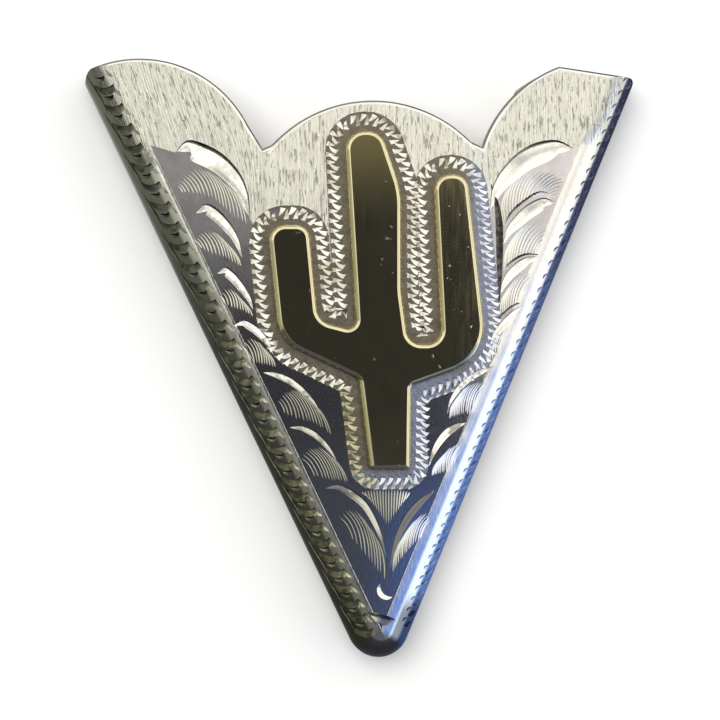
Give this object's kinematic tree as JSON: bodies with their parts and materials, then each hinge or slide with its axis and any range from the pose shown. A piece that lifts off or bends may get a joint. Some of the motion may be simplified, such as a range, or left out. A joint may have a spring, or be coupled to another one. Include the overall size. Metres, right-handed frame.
{
  "type": "collar tip",
  "caption": "Triangular western collar tip with a scalloped top edge, long sides rolled to the back as a pocket for a collar point, and a raised cactus overlay.",
  "frame": {"origin": "on the surface that the back flanges rest on, under the middle of the outline", "axes": "+Z out of the engraved front, -Y towards the nose, +X to the right as the front is seen"},
  "size_m": [0.0392, 0.042, 0.0058],
  "materials": {
    "silver_sheet": "polished and hand-engraved silver-coloured sheet, finely brushed at the top",
    "gold_overlay": "mirror-polished, with a rounded edge",
    "pin_wire": "plain drawn wire"
  },
  "bodies": {
    "root": {"tip_shell": "silver_sheet", "cactus_overlay": "gold_overlay", "tack_pin": "pin_wire"}
  },
  "joints": []
}
